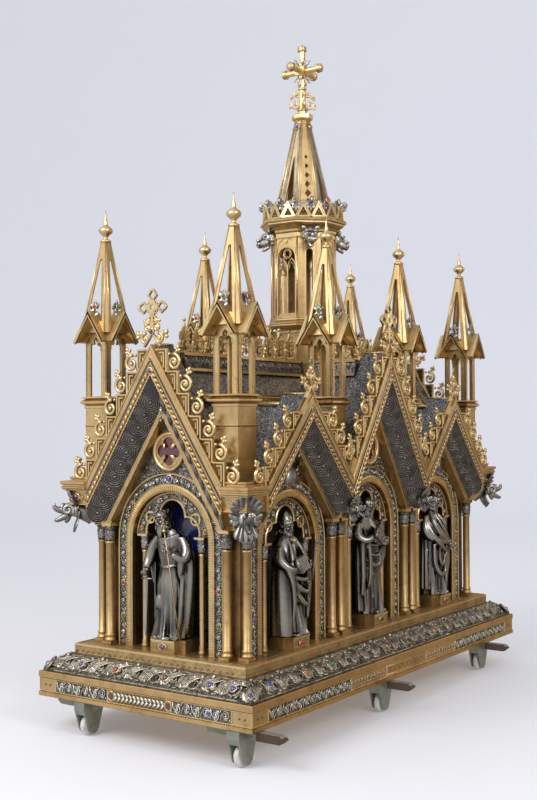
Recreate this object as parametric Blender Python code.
"""Neo-Gothic gilded reliquary on six wheels, modelled as separate closed solids.

Metres, +Z up. X runs along the long side and Y along the short side. Every shrine piece is
placed under the empty "shrine_frame", whose origin lies in the plan centre of the plinth's
underside, so the sizes below are heights above that underside. The frame is moved along Y by
half of what the caster bars stand out, which centres the whole object. Touching pieces keep GAP.
"""
import math

import bmesh
import bpy
from mathutils import Matrix, Vector

# ---------------------------------------------------------------- driving sizes
GAP = 0.0003
UNDERSIDE = 0.100            # height of the plinth's underside above the floor

PLINTH_X, PLINTH_Y = 0.840, 0.385      # half sizes
PLINTH_TOP = 0.0723
BAND_LOW, BAND_HIGH, BAND_INSET = 0.013, 0.055, 0.004
STEP_X, STEP_Y = 0.766, 0.311
FLOOR = 0.148                # top of the step, on which walls and columns stand
WALL_X, WALL_Y = 0.700, 0.245
WALL_TOP = 0.612
SHEET = 0.008                # thickness of walls and roof

NICHE_HALF = 0.140
NICHE_DEPTH = 0.095
SPRING_BIG, SPRING_SMALL = 0.460, 0.440
BAY_PITCH = 0.465

FRONT_X, FRONT_Y = 0.785, 0.334        # front planes of the gables
CAPITAL_TOP = 0.504
CORNICE_LOW, CORNICE_TOP = 0.600, 0.625
BIG_APEX, BIG_SLOPE = 1.015, math.radians(57.4)
SMALL_APEX, SMALL_SLOPE = 0.875, math.radians(47.6)
MOULDING, SOFFIT, FRAME = 0.046, 0.094, 0.108     # across the rake, from its outer line
FRAME_DEPTH = 0.035          # how far the inner frame stands before the wall
VALLEY_X = 0.243

TURRET_X, TURRET_Y, JUNCTION_X = 0.7106, 0.2367, 0.2327
TURRET_HALF = 0.0418
LEDGE_LOW, LEDGE_TOP, LEDGE_HALF = 0.847, 0.867, 0.053
GABLET_APEX, GABLET_EAVE, GABLET_HALF, GABLET_REACH = 1.121, 1.039, 0.055, 0.078
LANCET_HALF, LANCET_TOP = 0.023, 1.050
TURRET_SPIRE = ((1.072, 0.0530), (1.334, 0.010), (1.336, 0.0160), (1.343, 0.005),    # height, reach
                (1.366, 0.0215), (1.383, 0.005), (1.427, 0.002))

RIDGE = 0.985
NECK_HALF = 0.050
DRUM, DRUM_FOOT, DRUM_TOP = 0.100, 1.130, 1.418
GALLERY_TOP, CROWN_TOP = 1.462, 1.522
GALLERY, CROWN_SHEET, CROWN_POINTS, CROWN_NOTCH = 0.132, 0.013, 12, 1.476
SPIRE, SPIRE_TOP = 0.0970, 1.831
CROSS_TOP, CROSS_ARM_Z, CROSS_ARM, ARM_HALF, ARM_POINT = 2.068, 1.9775, 0.088, 0.010, 0.014

COLUMN_RADIUS, BASE_HALF, ABACUS_HALF = 0.0125, 0.0172, 0.0180
END_COLUMN, SIDE_COLUMN = (0.7185, 0.214), (0.695, 0.2645)
PAIR_COLUMNS, PAIR_GAP, ABACUS_LOW = (0.207, 0.258), (0.223, 0.242), 0.492
PEDESTAL_TOP = 0.184
PEDESTAL_ARMS = ((0.042, 0.0, 0.105), (0.064, 0.022, 0.083))      # half width, front and back
PEDESTAL_FRONT_X, PEDESTAL_FRONT_Y = 0.735, 0.290
STATUE_X, STATUE_Y = 0.688, 0.236

CASTER_X = (-0.799, -0.105, 0.615)
WHEEL_RADIUS, WHEEL_WIDTH = 0.030, 0.020
AXLE_Z = WHEEL_RADIUS - UNDERSIDE
FORK_LENGTH, FORK_WIDTH, FORK_PLATE = 0.040, 0.0195, 0.004       # half length, half width
FORK_FOOT = 0.024            # radius of the round foot
FORK_ROOF = 0.037            # depth of the closed top of the fork
BAR_HEIGHT, BAR_HALF, BAR_POINT = 0.022, 0.012, 0.013
FRONT_WHEELS, FRONT_BAR = (-0.322, -0.345, -0.345), (-0.215, -0.461)     # inner end and tip
BACK_WHEELS, BACK_BAR = (0.223, 0.223, 0.223), (0.180, 0.336)
CENTRING = (-FRONT_BAR[1] - PLINTH_Y) / 2

ENDS = ((-1, "left"), (1, "right"))
SIDES = ((-1, "front"), (1, "back"))
BAYS = ((-1, "left"), (0, "middle"), (1, "right"))

for old in list(bpy.data.objects):
    bpy.data.objects.remove(old, do_unlink=True)


# ---------------------------------------------------------------- scene set-up
def collection(name):
    made = bpy.data.collections.new(name)
    bpy.context.scene.collection.children.link(made)
    return made


def material(name, colour, roughness, metallic):
    made = bpy.data.materials.new(name)
    made.use_nodes = True
    shader = made.node_tree.nodes["Principled BSDF"]
    shader.inputs["Base Color"].default_value = (*colour, 1.0)
    shader.inputs["Roughness"].default_value = roughness
    shader.inputs["Metallic"].default_value = metallic
    made.diffuse_color = (*colour, 1.0)
    return made


PART = collection("part")
CUTTERS = collection("cutters")
GOLD = material("gilt", (0.60, 0.38, 0.13), 0.38, 1.0)
SILVER = material("oxidised_silver", (0.28, 0.27, 0.27), 0.42, 1.0)
ENAMEL = material("enamelled_roof", (0.17, 0.18, 0.22), 0.45, 0.6)
STEEL = material("painted_steel", (0.36, 0.38, 0.35), 0.50, 0.2)
NYLON = material("nylon", (0.80, 0.80, 0.78), 0.45, 0.0)

SHRINE = bpy.data.objects.new("shrine_frame", None)
SHRINE.location = (0, CENTRING, UNDERSIDE)
PART.objects.link(SHRINE)


def place(mesh, name, where, colour, home):
    made = bpy.data.objects.new(name, mesh)
    made.location = where
    made.parent = SHRINE
    if colour:
        mesh.materials.append(colour)
    home.objects.link(made)
    return made


def finish(form, name, where=(0, 0, 0), colour=GOLD):
    """Turn a bmesh into a placed object; no colour makes it a hidden cutter."""
    bmesh.ops.remove_doubles(form, verts=form.verts, dist=0.0001)
    bmesh.ops.recalc_face_normals(form, faces=form.faces)
    mesh = bpy.data.meshes.new(name)
    form.to_mesh(mesh)
    form.free()
    made = place(mesh, name, where, colour, PART if colour else CUTTERS)
    if not colour:
        made.hide_render = True
        made.display_type = "WIRE"
    return made


def carve(target, tool, operation="DIFFERENCE"):
    step = target.modifiers.new(tool.name, "BOOLEAN")
    step.operation = operation
    step.solver = "EXACT"
    step.object = tool
    return target


# ---------------------------------------------------------------- basic forms
def block(low, high):
    """A box between two corners."""
    form = bmesh.new()
    low, high = Vector(low), Vector(high)
    size = Matrix.Diagonal((*(high - low), 1.0))
    bmesh.ops.create_cube(form, size=1.0, matrix=Matrix.Translation((low + high) / 2) @ size)
    return form


def loft(rings):
    """A closed skin through equal rings of points, capped at both ends."""
    form = bmesh.new()
    rows = [[form.verts.new(point) for point in ring] for ring in rings]
    for lower, upper in zip(rows, rows[1:]):
        count = len(lower)
        for i in range(count):
            j = (i + 1) % count
            form.faces.new((lower[i], lower[j], upper[j], upper[i]))
    form.faces.new(reversed(rows[0]))
    form.faces.new(rows[-1])
    return form


def prism(outline, axis, start, end):
    """A flat outline of (across, up) points drawn along X or Y from start to end."""
    def point(across, up, along):
        return (along, across, up) if axis == "X" else (across, along, up)
    return loft([[point(*p, along) for p in outline] for along in (start, end)])


def square(z, half_x, half_y=None):
    half_y = half_x if half_y is None else half_y
    return [(sx * half_x, sy * half_y, z) for sx, sy in ((-1, -1), (1, -1), (1, 1), (-1, 1))]


def octagon(z, apothem):
    """Eight corners with flats on the axes and the diagonals."""
    corner = apothem * (math.sqrt(2) - 1)
    pairs = ((apothem, corner), (corner, apothem), (-corner, apothem), (-apothem, corner),
             (-apothem, -corner), (-corner, -apothem), (corner, -apothem), (apothem, -corner))
    return [(x, y, z) for x, y in pairs]


def circle(z, radius, sides=8):
    turn = 2 * math.pi / sides
    return [(radius * math.cos(i * turn), radius * math.sin(i * turn), z) for i in range(sides)]


def squared(z, half):
    """A square drawn with eight points, to follow a ring of circle()."""
    reach = (1, 1, 0, -1, -1, -1, 0, 1)
    rise = (0, 1, 1, 1, 0, -1, -1, -1)
    return [(half * x, half * y, z) for x, y in zip(reach, rise)]


def arch(half, foot, spring, sides=12, middle=0.0):
    """Outline of a round-headed opening."""
    head = [(middle + half * math.cos(a), spring + half * math.sin(a))
            for a in (math.pi * i / sides for i in range(sides + 1))]
    return [(middle - half, foot), (middle + half, foot), *head]


def rake(apex, slope, foot, middle=0.0, inset=0.0):
    """Outline of a gable whose sloping sides are moved inwards by inset."""
    top = apex - inset / math.cos(slope)
    half = (top - foot) / math.tan(slope)
    return [(middle - half, foot), (middle + half, foot), (middle, top)]


# ---------------------------------------------------------------- base
def plinth():
    edge = 0.002
    profile = ((0, edge), (edge, 0), (BAND_LOW, 0), (BAND_LOW, BAND_INSET), (BAND_HIGH, BAND_INSET),
               (BAND_HIGH, 0), (PLINTH_TOP - edge, 0), (PLINTH_TOP, edge))
    rings = [square(z, PLINTH_X - inwards, PLINTH_Y - inwards) for z, inwards in profile]
    finish(loft(rings), "plinth")


def foliage_cornice():
    set_back, rim, top = 0.010, 0.014, 0.110
    border = finish(loft([
        square(PLINTH_TOP + GAP, PLINTH_X - set_back, PLINTH_Y - set_back),
        square(PLINTH_TOP + 0.010, PLINTH_X - set_back, PLINTH_Y - set_back),
        square(top, STEP_X + rim, STEP_Y + rim),
        square(top + 0.007, STEP_X + rim - 0.006, STEP_Y + rim - 0.006)]),
                    "foliage_cornice", colour=SILVER)
    opening = finish(block((-STEP_X - GAP, -STEP_Y - GAP, 0), (STEP_X + GAP, STEP_Y + GAP, 0.2)),
                     "cornice_opening", colour=None)
    carve(border, opening)


def pedestal_forms():
    """Cross-shaped statue pedestals that belong to the step."""
    for sign, _ in ENDS:
        for half, near, far in PEDESTAL_ARMS:
            low, high = sorted((sign * (PEDESTAL_FRONT_X - near), sign * (PEDESTAL_FRONT_X - far)))
            yield block((low, -half, FLOOR - 0.02), (high, half, PEDESTAL_TOP))
    for sign, _ in SIDES:
        for x in (bay * BAY_PITCH for bay, _ in BAYS):
            for half, near, far in PEDESTAL_ARMS:
                low, high = sorted((sign * (PEDESTAL_FRONT_Y - near), sign * (PEDESTAL_FRONT_Y - far)))
                yield block((x - half, low, FLOOR - 0.02), (x + half, high, PEDESTAL_TOP))


def step():
    edge = 0.002
    body = finish(loft([square(PLINTH_TOP + GAP, STEP_X, STEP_Y), square(FLOOR - edge, STEP_X, STEP_Y),
                        square(FLOOR, STEP_X - edge, STEP_Y - edge)]), "step_with_pedestals")
    for number, form in enumerate(pedestal_forms()):
        carve(body, finish(form, f"pedestal_{number}", colour=None), "UNION")


# ---------------------------------------------------------------- walls and roof
def arch_cutters():
    """The eight niches, each with its outline, as cutting prisms."""
    below = FLOOR - 0.01
    for sign, end in ENDS:
        outline = arch(NICHE_HALF, below, SPRING_BIG)
        form = prism(outline, "X", sign * (WALL_X - NICHE_DEPTH), sign * (WALL_X + 0.1))
        yield finish(form, f"niche_{end}", colour=None)
    for sign, side in SIDES:
        for bay, place_name in BAYS:
            spring = SPRING_SMALL if bay else SPRING_BIG
            outline = arch(NICHE_HALF, below, spring, middle=bay * BAY_PITCH)
            form = prism(outline, "Y", sign * (WALL_Y - NICHE_DEPTH), sign * (WALL_Y + 0.1))
            yield finish(form, f"niche_{side}_{place_name}", colour=None)


def pocket_boxes():
    """Hollows inside the walls: the relic chamber and the piers, as (x, y) ranges."""
    inner_x, inner_y = WALL_X - SHEET, WALL_Y - SHEET
    core_x = WALL_X - NICHE_DEPTH - SHEET
    core_y = WALL_Y - NICHE_DEPTH - SHEET
    jamb = NICHE_HALF + SHEET
    yield (-core_x, core_x), (-core_y, core_y)
    for sy in (-1, 1):
        for sx in (-1, 1):
            pier = sorted((sx * jamb, sx * (BAY_PITCH - jamb)))
            corner = sorted((sx * (BAY_PITCH + jamb), sx * inner_x))
            yield pier, sorted((sy * (core_y - 0.01), sy * inner_y))
            yield corner, sorted((sy * jamb, sy * inner_y))


def walls():
    body = finish(block((-WALL_X, -WALL_Y, FLOOR + GAP), (WALL_X, WALL_Y, WALL_TOP)), "shrine_walls")
    for number, (xs, ys) in enumerate(pocket_boxes()):
        form = block((xs[0], ys[0], FLOOR + SHEET), (xs[1], ys[1], WALL_TOP + 0.1))
        carve(body, finish(form, f"pocket_{number}", colour=None))
    for niche in arch_cutters():
        carve(body, niche)


def roof_prisms(label, lift, inwards, foot):
    """The main roof and three cross roofs as prisms; lift lowers their sloping faces."""
    half_x, half_y = WALL_X - GAP - inwards, WALL_Y - GAP - inwards
    main = rake(RIDGE, BIG_SLOPE, foot, inset=lift)
    parts = [finish(prism(main, "X", -half_x, half_x), f"{label}_main", colour=None)]
    for bay, bay_name in BAYS:
        apex, slope = (SMALL_APEX - 0.03, SMALL_SLOPE) if bay else (RIDGE, BIG_SLOPE)
        outline = rake(apex, slope, foot, middle=bay * BAY_PITCH, inset=lift)
        parts.append(finish(prism(outline, "Y", -half_y, half_y), f"{label}_{bay_name}", colour=None))
    return parts


def roof():
    foot = WALL_TOP + GAP
    half_x, half_y = WALL_X - GAP, WALL_Y - GAP
    slab = block((-half_x, -half_y, foot), (half_x, half_y, foot + 0.004))
    shell = finish(slab, "roof", colour=ENAMEL)
    for part in roof_prisms("roof_outside", 0.0, 0.0, foot):
        carve(shell, part, "UNION")
    room = block((-half_x, -half_y, foot), (half_x, half_y, RIDGE + 0.1))
    carve(shell, finish(room, "roof_limit", colour=None), "INTERSECT")
    for part in roof_prisms("roof_inside", SHEET, SHEET, foot - 0.05):
        carve(shell, part)
    for x, y, name in turret_places():
        half = TURRET_HALF + GAP
        notch = block((x - half, y - half, foot - 0.05), (x + half, y + half, RIDGE))
        carve(shell, finish(notch, f"roof_notch_{name}", colour=None))
    half = NECK_HALF + GAP
    hole = block((-half, -half, 0.9), (half, half, RIDGE + 0.1))
    carve(shell, finish(hole, "neck_hole", colour=None))


# ---------------------------------------------------------------- gables
def gable_frame(name, axis, sign, wall, front, apex, slope, middle, limits):
    """A projecting gable: moulded rakes, slanting soffit and inner frame, cut to its bay."""
    depths = ((0, 0), (front - wall, 0), (front - wall, MOULDING), (FRAME_DEPTH, SOFFIT),
              (FRAME_DEPTH, FRAME), (0, FRAME))
    low = CAPITAL_TOP - 0.05

    def section(station):
        ring = []
        for depth, inset in depths:
            across, up = rake(apex, slope, low, middle, inset)[station]
            along = sign * (wall + GAP + depth)
            ring.append((along, across, up) if axis == "X" else (across, along, up))
        return ring
    made = finish(loft([section(0), section(2), section(1)]), name)
    depth = sorted((sign * (wall - 0.1), sign * (front + 0.1)))
    xs, ys = (depth, limits) if axis == "X" else (limits, depth)
    room = block((xs[0], ys[0], CAPITAL_TOP + GAP), (xs[1], ys[1], apex + 0.1))
    carve(made, finish(room, f"{name}_room", colour=None), "INTERSECT")
    return made


def corner_cornice(sx, sy, name):
    """The cornice and frieze that turn round a corner, above its two columns."""
    top_x = FRONT_X + 0.004
    levels = ((CAPITAL_TOP + GAP, 0.735, 0.284), (0.560, 0.774, 0.322), (CORNICE_LOW, 0.779, 0.327),
              (CORNICE_LOW + 0.001, top_x, FRONT_Y), (CORNICE_TOP, top_x, FRONT_Y))
    inner_x, inner_y = WALL_X + 2 * GAP, WALL_Y + GAP
    rings = []
    for z, far_x, far_y in levels:
        corners = ((inner_x, inner_y), (far_x, inner_y), (far_x, far_y), (inner_x, far_y))
        rings.append([(sx * x, sy * y, z) for x, y in corners])
    return finish(loft(rings), name, colour=None)


def gables():
    reach = WALL_Y + GAP + 0.001
    for sign, end in ENDS:
        made = gable_frame(f"end_gable_{end}", "X", sign, WALL_X, FRONT_X, BIG_APEX, BIG_SLOPE,
                           0.0, (-reach, reach))
        for side_sign, side in SIDES:
            carve(made, corner_cornice(sign, side_sign, f"corner_{end}_{side}"), "UNION")
    for sign, side in SIDES:
        for bay, bay_name in BAYS:
            apex, slope = (SMALL_APEX, SMALL_SLOPE) if bay else (BIG_APEX, BIG_SLOPE)
            if bay:
                limits = sorted((bay * (VALLEY_X + GAP), bay * (WALL_X - GAP)))
            else:
                limits = (-VALLEY_X, VALLEY_X)
            gable_frame(f"side_gable_{side}_{bay_name}", "Y", sign, WALL_Y, FRONT_Y, apex, slope,
                        bay * BAY_PITCH, limits)


# ---------------------------------------------------------------- columns
def column(x, y, name, colour=GOLD):
    """Square foot, round base and shaft, and a capital that widens to a square."""
    rings = [squared(FLOOR + GAP, BASE_HALF), squared(0.158, BASE_HALF), circle(0.162, BASE_HALF),
             circle(0.183, COLUMN_RADIUS), circle(0.450, COLUMN_RADIUS),
             squared(0.490, ABACUS_HALF), squared(CAPITAL_TOP, ABACUS_HALF)]
    return finish(loft(rings), name, (x, y, 0), colour)


def columns():
    for sx, end in ENDS:
        for sy, side in SIDES:
            column(sx * END_COLUMN[0], sy * END_COLUMN[1], f"column_end_{end}_{side}")
            column(sx * SIDE_COLUMN[0], sy * SIDE_COLUMN[1], f"column_side_{end}_{side}")
            y = sy * SIDE_COLUMN[1]
            pair = column(sx * PAIR_COLUMNS[0], y, f"column_pair_{side}_{end}")
            second = column(sx * PAIR_COLUMNS[1], y, f"second_column_{side}_{end}", colour=None)
            carve(pair, second, "UNION")
            low, high = sorted(sx * x for x in PAIR_GAP)
            bridge = block((low, y - ABACUS_HALF, ABACUS_LOW), (high, y + ABACUS_HALF, CAPITAL_TOP))
            carve(pair, finish(bridge, f"abacus_{side}_{end}", colour=None), "UNION")


# ---------------------------------------------------------------- turrets
def turret_places():
    for sx, end in ENDS:
        for sy, side in SIDES:
            yield sx * TURRET_X, sy * TURRET_Y, f"corner_{end}_{side}"
            yield sx * JUNCTION_X, sy * TURRET_Y, f"junction_{end}_{side}"


def seat_cutters(sx, sy, corner, x, y, name):
    """What the foot of a turret stands on, slightly grown, in the turret's own frame."""
    grow, buried, under = 2 * GAP, 0.0004, 0.45

    def gable(label, axis, span, apex, slope, middle):
        outline = rake(apex, slope, under, middle=middle, inset=-grow)
        return finish(prism(outline, axis, *span), f"seat_{label}_{name}", (x, y, 0), None)
    span_x = sorted((sx * (WALL_X - buried) - x, sx * 0.9 - x))
    span_y = sorted((sy * (WALL_Y - buried) - y, sy * 0.5 - y))
    yield gable("small", "Y", span_y, SMALL_APEX, SMALL_SLOPE, sx * BAY_PITCH - x)
    if not corner:
        yield gable("big", "Y", span_y, BIG_APEX, BIG_SLOPE, -x)
        return
    yield gable("end", "X", span_x, BIG_APEX, BIG_SLOPE, -y)
    form = block((span_x[0], span_y[0], under), (span_x[1], span_y[1], CORNICE_TOP + GAP))
    yield finish(form, f"seat_cornice_{name}", (x, y, 0), None)


def gablet_outline():
    return [(-GABLET_HALF, GABLET_EAVE), (GABLET_HALF, GABLET_EAVE), (0.0, GABLET_APEX)]


def lancet_outline():
    spring = LANCET_TOP - 1.4 * LANCET_HALF
    return [(-LANCET_HALF, LEDGE_TOP), (LANCET_HALF, LEDGE_TOP), (LANCET_HALF, spring),
            (0.0, LANCET_TOP), (-LANCET_HALF, spring)]


def turret(x, y, name):
    sx, sy = math.copysign(1, x), math.copysign(1, y)
    corner = "corner" in name
    where = (x, y, 0)
    half = TURRET_HALF
    made = finish(loft([square(WALL_TOP + GAP, half), square(LEDGE_LOW, half),
                        square(LEDGE_LOW + 0.006, LEDGE_HALF), square(LEDGE_TOP - 0.008, LEDGE_HALF),
                        square(LEDGE_TOP, half), square(1.075, half)]), f"turret_{name}", where)
    for axis in ("X", "Y"):
        form = prism(lancet_outline(), axis, -half - 0.01, half + 0.01)
        carve(made, finish(form, f"lancet_{axis}_{name}", where, None))
    for axis in ("X", "Y"):
        form = prism(gablet_outline(), axis, -GABLET_REACH, GABLET_REACH)
        carve(made, finish(form, f"gablets_{axis}_{name}", where, None), "UNION")
    spire = loft([octagon(z, apothem) for z, apothem in TURRET_SPIRE])
    carve(made, finish(spire, f"spire_{name}", where, None), "UNION")
    for cutter in seat_cutters(sx, sy, corner, x, y, name):
        carve(made, cutter)


# ---------------------------------------------------------------- central tower
def tower():
    foot = finish(loft([square(0.930, NECK_HALF), square(1.104, NECK_HALF)]), "tower_drum")
    rings = [octagon(1.1035, 0.075), octagon(1.112, 0.116), octagon(1.122, 0.116),
             octagon(DRUM_FOOT, DRUM), octagon(DRUM_TOP, DRUM)]
    carve(foot, finish(loft(rings), "drum_outside", colour=None), "UNION")
    inner = DRUM - 0.012
    inside = [octagon(DRUM_FOOT, inner), octagon(DRUM_TOP + 0.01, inner)]
    carve(foot, finish(loft(inside), "drum_inside", colour=None))
    window_foot, window_top = 1.145, 1.370
    for turn, half in ((0, 0.034), (45, 0.011)):
        outline = arch(half, window_foot, window_top - half, sides=8)
        for quarter in (0, 90):
            tool = finish(prism(outline, "X", -0.2, 0.2), f"window_{turn + quarter}", colour=None)
            tool.rotation_euler.z = math.radians(turn + quarter)
            carve(foot, tool)


def gallery():
    """A flared cornice with a thin crown of points that stands on it."""
    made = finish(loft([octagon(DRUM_TOP + GAP, DRUM), octagon(1.430, 0.104), octagon(1.446, 0.126),
                        octagon(GALLERY_TOP, GALLERY)]), "tower_gallery")
    count, sunk = 2 * CROWN_POINTS, GALLERY_TOP - 0.002
    crown, rows = bmesh.new(), []
    for radius, peak in ((GALLERY, True), (GALLERY, False), (GALLERY - CROWN_SHEET, False),
                         (GALLERY - CROWN_SHEET, True)):
        row = []
        for i in range(count):
            angle = 2 * math.pi * i / count
            z = (CROWN_NOTCH if i % 2 else CROWN_TOP) if peak else sunk
            row.append(crown.verts.new((radius * math.cos(angle), radius * math.sin(angle), z)))
        rows.append(row)
    for lower, upper in zip(rows, rows[1:] + rows[:1]):
        for i in range(count):
            j = (i + 1) % count
            crown.faces.new((lower[i], lower[j], upper[j], upper[i]))
    bmesh.ops.triangulate(crown, faces=crown.faces)
    carve(made, finish(crown, "gallery_crown", colour=None), "UNION")


def tower_spire():
    finish(loft([octagon(GALLERY_TOP + GAP, SPIRE), octagon(1.532, 0.085), octagon(1.810, 0.022),
                 octagon(1.814, 0.034), octagon(SPIRE_TOP - 0.003, 0.034), octagon(SPIRE_TOP, 0.030)]),
           "tower_spire")


def tower_cross():
    """A stem with a scroll collar and a ball, and four arms with pointed ends."""
    made = finish(loft([octagon(SPIRE_TOP + GAP, 0.026), octagon(1.840, 0.012), octagon(1.862, 0.014),
                        octagon(1.874, 0.046), octagon(1.888, 0.046), octagon(1.900, 0.012),
                        octagon(CROSS_TOP - 0.030, 0.010), octagon(CROSS_TOP - 0.018, 0.017),
                        octagon(CROSS_TOP, 0.005)]), "tower_cross")
    start, thick = CROSS_ARM - ARM_POINT, 0.008
    low, high = CROSS_ARM_Z - ARM_HALF, CROSS_ARM_Z + ARM_HALF
    outline = [(-CROSS_ARM, CROSS_ARM_Z), (-start, low), (start, low),
               (CROSS_ARM, CROSS_ARM_Z), (start, high), (-start, high)]
    for axis in ("X", "Y"):
        arm = finish(prism(outline, axis, -thick, thick), f"cross_arm_{axis}", colour=None)
        carve(made, arm, "UNION")


# ---------------------------------------------------------------- statues
FIGURE = (                     # height, half width, half depth, forward lean
    (0.000, 0.056, 0.042, 0.000), (0.110, 0.045, 0.034, 0.002), (0.185, 0.056, 0.036, 0.004),
    (0.225, 0.062, 0.038, 0.006), (0.280, 0.053, 0.032, 0.004), (0.303, 0.036, 0.024, 0.002),
    (0.314, 0.016, 0.016, 0.004), (0.326, 0.019, 0.023, 0.007), (0.347, 0.021, 0.024, 0.007),
    (0.374, 0.010, 0.012, 0.004))
FIGURE_SIDES = 8


def figure(name, where, facing, things):
    """A robed standing figure looking along -Y before it is turned by facing."""
    rings = [[(half * math.cos(a), -lean + deep * math.sin(a), z)
              for a in (2 * math.pi * i / FIGURE_SIDES for i in range(FIGURE_SIDES))]
             for z, half, deep, lean in FIGURE]
    made = finish(loft(rings), name, (*where, PEDESTAL_TOP + GAP), SILVER)
    made.rotation_euler.z = math.radians(facing)
    for number, (start, end, thick) in enumerate(things):
        tool = finish(rod(start, end, thick), f"{name}_held_{number}", made.location, None)
        tool.rotation_euler.z = math.radians(facing)
        carve(made, tool, "UNION")


def rod(start, end, thick):
    """A bar between two points; thick is (half width, half depth)."""
    start, end = Vector(start), Vector(end)
    along = end - start
    turn = along.to_track_quat("Z", "Y").to_matrix().to_4x4()
    form = bmesh.new()
    size = Matrix.Diagonal((2 * thick[0], 2 * thick[1], along.length, 1.0))
    bmesh.ops.create_cube(form, size=1.0, matrix=Matrix.Translation((start + end) / 2) @ turn @ size)
    return form


KING = (((-0.046, -0.016, 0.225), (-0.042, -0.046, 0.004), (0.008, 0.005)),
        ((0.010, -0.044, 0.350), (0.040, -0.046, 0.004), (0.003, 0.003)),
        ((0.050, -0.020, 0.225), (0.020, -0.046, 0.240), (0.010, 0.010)))
BISHOP = (((0.000, -0.004, 0.350), (0.000, -0.004, 0.382), (0.017, 0.012)),
          ((0.030, -0.020, 0.215), (0.030, -0.060, 0.215), (0.016, 0.012)),
          ((0.048, -0.030, 0.180), (0.048, -0.045, 0.290), (0.004, 0.004)))
READER = (((-0.026, -0.052, 0.262), (0.030, -0.036, 0.238), (0.022, 0.008)),)
THINKER = (((-0.040, -0.036, 0.270), (0.042, -0.036, 0.150), (0.012, 0.012)),)


def statues():
    for sign, end in ENDS:
        figure(f"statue_{end}_end", (sign * STATUE_X, 0.0), 90 * sign, KING)
    held = {-1: BISHOP, 0: READER, 1: THINKER}
    for sign, side in SIDES:
        for bay, bay_name in BAYS:
            facing = 0 if sign < 0 else 180
            figure(f"statue_{side}_{bay_name}", (bay * BAY_PITCH, sign * STATUE_Y), facing, held[bay])


# ---------------------------------------------------------------- casters
def fork_outline():
    """Side view of a fork: straight top, tapering sides and a round foot."""
    top, steps = FORK_LENGTH, 6
    bend = [(FORK_FOOT * math.cos(a), AXLE_Z - FORK_FOOT * math.sin(a))
            for a in (math.pi * i / steps for i in range(steps + 1))]
    return [(-top, -BAR_HEIGHT), (-top, -GAP), (top, -GAP), (top, -BAR_HEIGHT), *bend]


def wheel(name, where):
    half, edge = WHEEL_WIDTH / 2, 0.003
    profile = ((-half, WHEEL_RADIUS - edge), (edge - half, WHEEL_RADIUS),
               (half - edge, WHEEL_RADIUS), (half, WHEEL_RADIUS - edge))
    rings = [[(x, y, z) for x, z, _ in circle(0, radius, sides=12)] for y, radius in profile]
    finish(loft(rings), name, where, NYLON)


def caster(name, x, wheel_y, bar):
    """A fork under a crosswise bar that has one square and one pointed end."""
    fork = finish(prism(fork_outline(), "Y", -FORK_WIDTH, FORK_WIDTH), f"caster_fork_{name}",
                  (x, wheel_y, 0), STEEL)
    slot_half = FORK_WIDTH - FORK_PLATE
    slot = block((-0.1, -slot_half, -UNDERSIDE), (0.1, slot_half, -FORK_ROOF))
    carve(fork, finish(slot, f"fork_slot_{name}", (x, wheel_y, 0), None))
    square_end, tip = bar
    point = math.copysign(BAR_POINT, tip - square_end)
    low = -GAP - BAR_HEIGHT
    outline = [(square_end, -GAP), (square_end, low), (tip - point, low),
               (tip, -GAP - BAR_HEIGHT / 2), (tip - point, -GAP)]
    made = finish(prism(outline, "X", -BAR_HALF, BAR_HALF), f"caster_bar_{name}", (x, 0, 0), None)
    carve(fork, made, "UNION")
    wheel(f"wheel_{name}", (x, wheel_y, AXLE_Z))


def casters():
    for number, x in enumerate(CASTER_X):
        caster(f"front_{number + 1}", x, FRONT_WHEELS[number], FRONT_BAR)
        caster(f"back_{number + 1}", x, BACK_WHEELS[number], BACK_BAR)


# ---------------------------------------------------------------- the whole part
plinth()
foliage_cornice()
step()
walls()
roof()
gables()
columns()
for turret_x, turret_y, turret_name in turret_places():
    turret(turret_x, turret_y, turret_name)
tower()
gallery()
tower_spire()
tower_cross()
statues()
casters()
